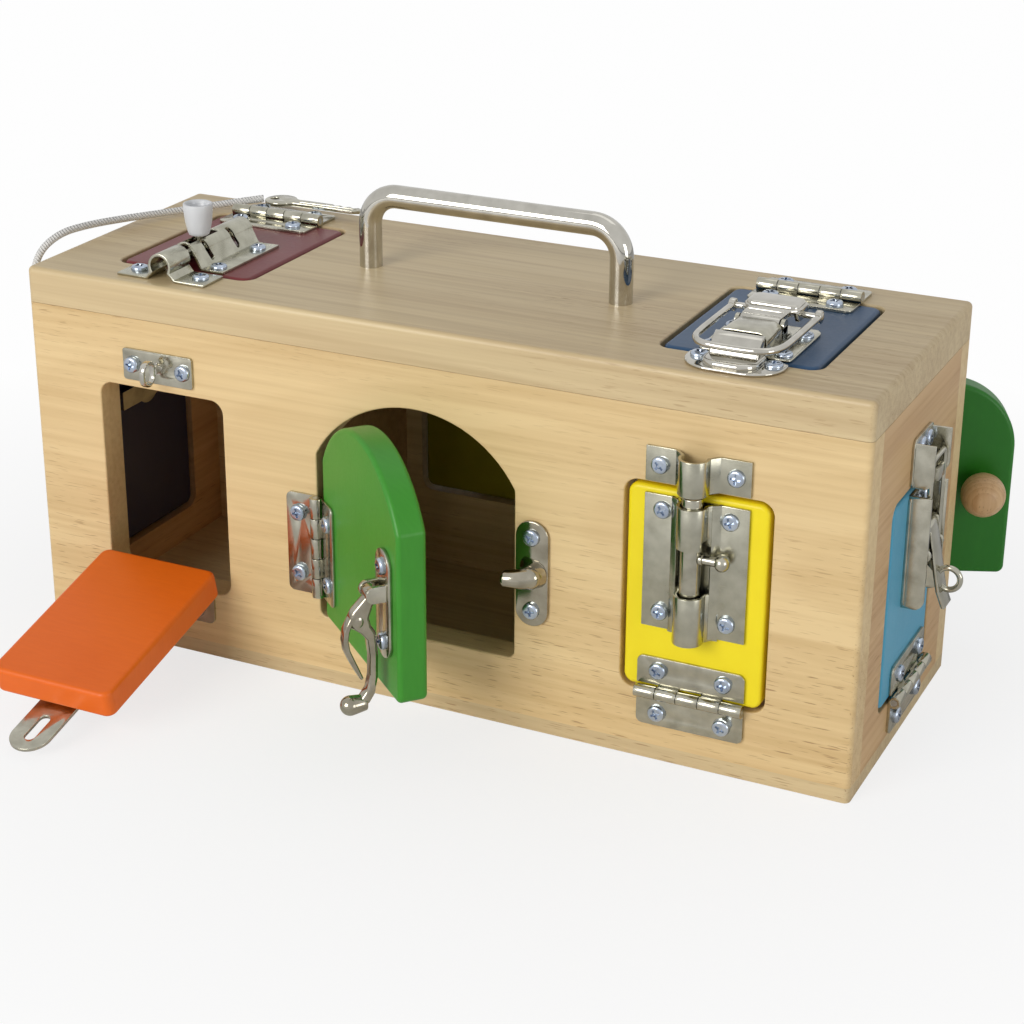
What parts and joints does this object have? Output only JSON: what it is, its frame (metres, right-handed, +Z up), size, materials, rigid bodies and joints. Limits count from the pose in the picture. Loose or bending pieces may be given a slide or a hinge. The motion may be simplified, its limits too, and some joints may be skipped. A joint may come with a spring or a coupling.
{
  "type": "busy board",
  "caption": "Wooden busy board shaped as a carry box, with coloured doors, each closed by its own hinge and latch, and a key on a cord.",
  "frame": {"origin": "middle of the underside of the box, on the surface it stands on", "axes": "+X along the box to the right seen from the front, +Y from the front to the back, +Z up"},
  "size_m": [0.3878, 0.2662, 0.1891],
  "materials": {
    "pale_wood": "clear satin lacquer",
    "ball_wood": "clear satin lacquer",
    "orange_stain": "satin stain",
    "green_stain": "satin stain",
    "yellow_stain": "satin stain",
    "red_stain": "satin stain",
    "blue_stain": "satin stain",
    "sky_stain": "satin stain",
    "navy_stain": "satin stain",
    "olive_stain": "satin stain",
    "dark_green_stain": "satin stain",
    "nickel": "bright nickel plate",
    "steel": "zinc plate",
    "white_plastic": "smooth",
    "white_cord": "braided"
  },
  "bodies": {
    "box": {"arch_keeper": "nickel", "back_board": "pale_wood", "bottom_board": "pale_wood", "carry_handle": "nickel", "draw_latch_catch": "nickel", "frame_hinge_leaves": "nickel", "frame_screws": "steel", "front_board": "pale_wood", "handle_screws": "steel", "hinge_pins": "steel", "key": "nickel", "key_cord": "white_cord", "left_divider": "pale_wood", "left_end_board": "pale_wood", "red_bolt_keeper": "nickel", "right_divider": "pale_wood", "right_end_board": "pale_wood", "staple_plate": "nickel", "toggle_latch_catch": "nickel", "top_board": "pale_wood", "yellow_bolt_keeper": "nickel"},
    "orange_door": {"orange_door": "orange_stain", "orange_door_hinge_leaf": "nickel", "hasp_strap": "nickel"},
    "green_arch_door": {"green_arch_door": "green_stain", "green_arch_door_hinge_leaf": "nickel", "arch_latch_plate": "nickel"},
    "yellow_door": {"yellow_door": "yellow_stain", "yellow_door_hinge_leaf": "nickel", "yellow_bolt_base": "nickel"},
    "red_door": {"red_door": "red_stain", "red_door_hinge_leaf": "nickel", "red_bolt_body": "nickel"},
    "blue_door": {"blue_door": "blue_stain", "blue_door_hinge_leaf": "nickel", "toggle_latch_base": "nickel"},
    "sky_door": {"sky_door": "sky_stain", "sky_door_hinge_leaf": "nickel", "draw_latch_base": "nickel"},
    "navy_door": {"navy_door": "navy_stain", "navy_door_hinge_leaf": "nickel", "lock_barrel": "nickel"},
    "olive_door": {"olive_door": "olive_stain", "olive_door_hinge_leaf": "nickel"},
    "back_green_door": {"back_green_door": "dark_green_stain", "back_green_door_hinge_leaf": "nickel", "ball_knob": "ball_wood"},
    "turn_staple": {"turn_staple": "nickel"},
    "arch_latch_lever": {"arch_latch_lever": "nickel"},
    "yellow_bolt_rod": {"yellow_bolt_rod": "nickel"},
    "red_bolt_rod": {"red_bolt_rod": "nickel", "red_bolt_knob": "white_plastic"},
    "toggle_latch_lever": {"toggle_latch_lever": "nickel"},
    "toggle_latch_loop": {"toggle_latch_loop": "nickel"},
    "draw_latch_lever": {"draw_latch_lever": "nickel"},
    "draw_latch_loop": {"draw_latch_loop": "nickel"},
    "lock_cam": {"lock_cam": "nickel"},
    "turn_button": {"turn_button": "ball_wood"}
  },
  "joints": [
    {"name": "orange_door_hinge", "type": "hinge", "parent": "box", "child": "orange_door", "pos_m": [-0.1143, -0.065, 0.029], "axis": [1, 0, 0], "range_deg": [-104, 0]},
    {"name": "green_arch_door_hinge", "type": "hinge", "parent": "box", "child": "green_arch_door", "pos_m": [-0.0432, -0.065, 0.0597], "axis": [0, 0, -1], "range_deg": [-41, 54]},
    {"name": "yellow_door_hinge", "type": "hinge", "parent": "box", "child": "yellow_door", "pos_m": [0.1127, -0.065, 0.029], "axis": [1, 0, 0], "range_deg": [0, 95]},
    {"name": "red_door_hinge", "type": "hinge", "parent": "box", "child": "red_door", "pos_m": [-0.116, 0.039, 0.1575], "axis": [-1, 0, 0], "range_deg": [0, 95]},
    {"name": "blue_door_hinge", "type": "hinge", "parent": "box", "child": "blue_door", "pos_m": [0.117, 0.039, 0.1575], "axis": [-1, 0, 0], "range_deg": [0, 150]},
    {"name": "sky_door_hinge", "type": "hinge", "parent": "box", "child": "sky_door", "pos_m": [0.1775, -0.0008, 0.021], "axis": [0, 1, 0], "range_deg": [0, 85]},
    {"name": "navy_door_hinge", "type": "hinge", "parent": "box", "child": "navy_door", "pos_m": [-0.1775, -0.0008, 0.021], "axis": [0, -1, 0], "range_deg": [0, 100]},
    {"name": "olive_door_hinge", "type": "hinge", "parent": "box", "child": "olive_door", "pos_m": [-0.0155, 0.065, 0.04], "axis": [-1, 0, 0], "range_deg": [0, 95]},
    {"name": "back_green_door_hinge", "type": "hinge", "parent": "box", "child": "back_green_door", "pos_m": [0.14, 0.065, 0.063], "axis": [0, 0, -1], "range_deg": [-157, 0]},
    {"name": "staple_turn", "type": "hinge", "parent": "box", "child": "turn_staple", "pos_m": [-0.1143, -0.066, 0.1217], "axis": [0, -1, 0], "range_deg": [-90, 0]},
    {"name": "arch_latch_lift", "type": "hinge", "parent": "green_arch_door", "child": "arch_latch_lever", "pos_m": [0.00771, -0.11389, 0.072], "axis": [-0.7547, 0.6561, 0], "range_deg": [0, 90]},
    {"name": "yellow_bolt_slide", "type": "slide", "parent": "yellow_door", "child": "yellow_bolt_rod", "axis": [0, 0, -1], "range_m": [-0.005, 0.009]},
    {"name": "red_bolt_slide", "type": "slide", "parent": "red_door", "child": "red_bolt_rod", "axis": [0, 1, 0], "range_m": [-0.008, 0.008]},
    {"name": "toggle_lever_lift", "type": "hinge", "parent": "blue_door", "child": "toggle_latch_lever", "pos_m": [0.1185, -0.021, 0.1625], "axis": [1, 0, 0], "range_deg": [0, 90]},
    {"name": "toggle_loop_swing", "type": "hinge", "parent": "toggle_latch_lever", "child": "toggle_latch_loop", "pos_m": [0.1185, -0.005, 0.1625], "axis": [-1, 0, 0], "range_deg": [0, 90]},
    {"name": "draw_lever_lift", "type": "hinge", "parent": "sky_door", "child": "draw_latch_lever", "pos_m": [0.18, 0, 0.087], "axis": [0, -1, 0], "range_deg": [-12, 90]},
    {"name": "draw_loop_swing", "type": "hinge", "parent": "draw_latch_lever", "child": "draw_latch_loop", "pos_m": [0.18187, 0, 0.0782], "axis": [0, 1, 0], "range_deg": [-12, 90]},
    {"name": "lock_cam_turn", "type": "hinge", "parent": "navy_door", "child": "lock_cam", "pos_m": [-0.175, -0.0008, 0.087], "axis": [1, 0, 0], "range_deg": [-90, 0]},
    {"name": "turn_button_turn", "type": "hinge", "parent": "box", "child": "turn_button", "pos_m": [-0.0155, 0.065, 0.1205], "axis": [0, 1, 0], "range_deg": [-90, 0]}
  ],
  "couplings": [
    {"joint": "toggle_lever_lift", "follows": "toggle_loop_swing", "ratio": 1},
    {"joint": "draw_lever_lift", "follows": "draw_loop_swing", "ratio": 1}
  ]
}
